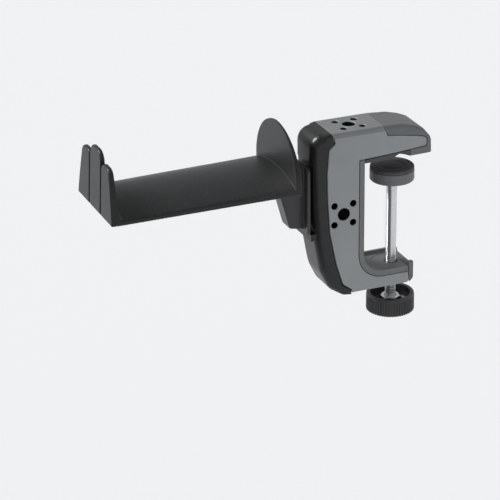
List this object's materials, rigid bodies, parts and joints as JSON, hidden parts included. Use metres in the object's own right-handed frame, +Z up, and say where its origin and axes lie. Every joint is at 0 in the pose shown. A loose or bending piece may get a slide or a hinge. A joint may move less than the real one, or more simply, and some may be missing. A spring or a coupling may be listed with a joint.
{
  "type": "headphone hook with table clamp",
  "caption": "Table-edge C-clamp carrying a wide arched headphone saddle with a round guard disc behind and upright fingers at the tip.",
  "frame": {"origin": "middle of the flat land on the upper jaw's clamping face, the face that rests on the table top", "axes": "+X out along the jaws towards the table, +Y across the clamp's width, +Z up; the hook reaches towards -X"},
  "size_m": [0.1849, 0.0528, 0.1214],
  "materials": {
    "grey_plastic": "satin glass-fibre filled plastic, fine texture on the top face",
    "soft_cover": "dark soft-touch plastic with a low sheen",
    "pad_rubber": "matt elastomer",
    "black_plastic": "fine moulded grain",
    "knob_plastic": "ribbed black plastic",
    "zinc_steel": "bright zinc plating",
    "brass": "turned"
  },
  "bodies": {
    "clamp": {"clamp_core": "grey_plastic", "spine_cover": "soft_cover", "upper_jaw_cap": "black_plastic", "upper_jaw_pad": "pad_rubber", "throat_liner": "pad_rubber", "lower_jaw_cap": "black_plastic", "jaw_nut": "zinc_steel", "hook_body": "black_plastic", "mounting_bracket": "black_plastic", "bracket_screw_front": "zinc_steel", "bracket_screw_rear": "zinc_steel", "holder_bolt": "zinc_steel", "holder_washer": "zinc_steel", "holder_nut": "zinc_steel"},
    "presser": {"pressure_plate": "black_plastic", "pressure_pad": "pad_rubber"},
    "screw": {"spindle": "zinc_steel", "retaining_clip": "zinc_steel", "knob": "knob_plastic", "knob_insert": "brass", "knob_nut": "zinc_steel"}
  },
  "joints": [
    {"name": "presser_travel", "type": "slide", "parent": "clamp", "child": "presser", "axis": [0, 0, 1], "range_m": [-0.045, 0.0077]},
    {"name": "screw_turn", "type": "hinge", "parent": "presser", "child": "screw", "pos_m": [0.014, 0, 0], "axis": [0, 0, 1], "range_deg": [-16202, 2774]}
  ],
  "couplings": [
    {"joint": "screw_turn", "follows": "presser_travel", "rad_per_m": 6283.2}
  ]
}
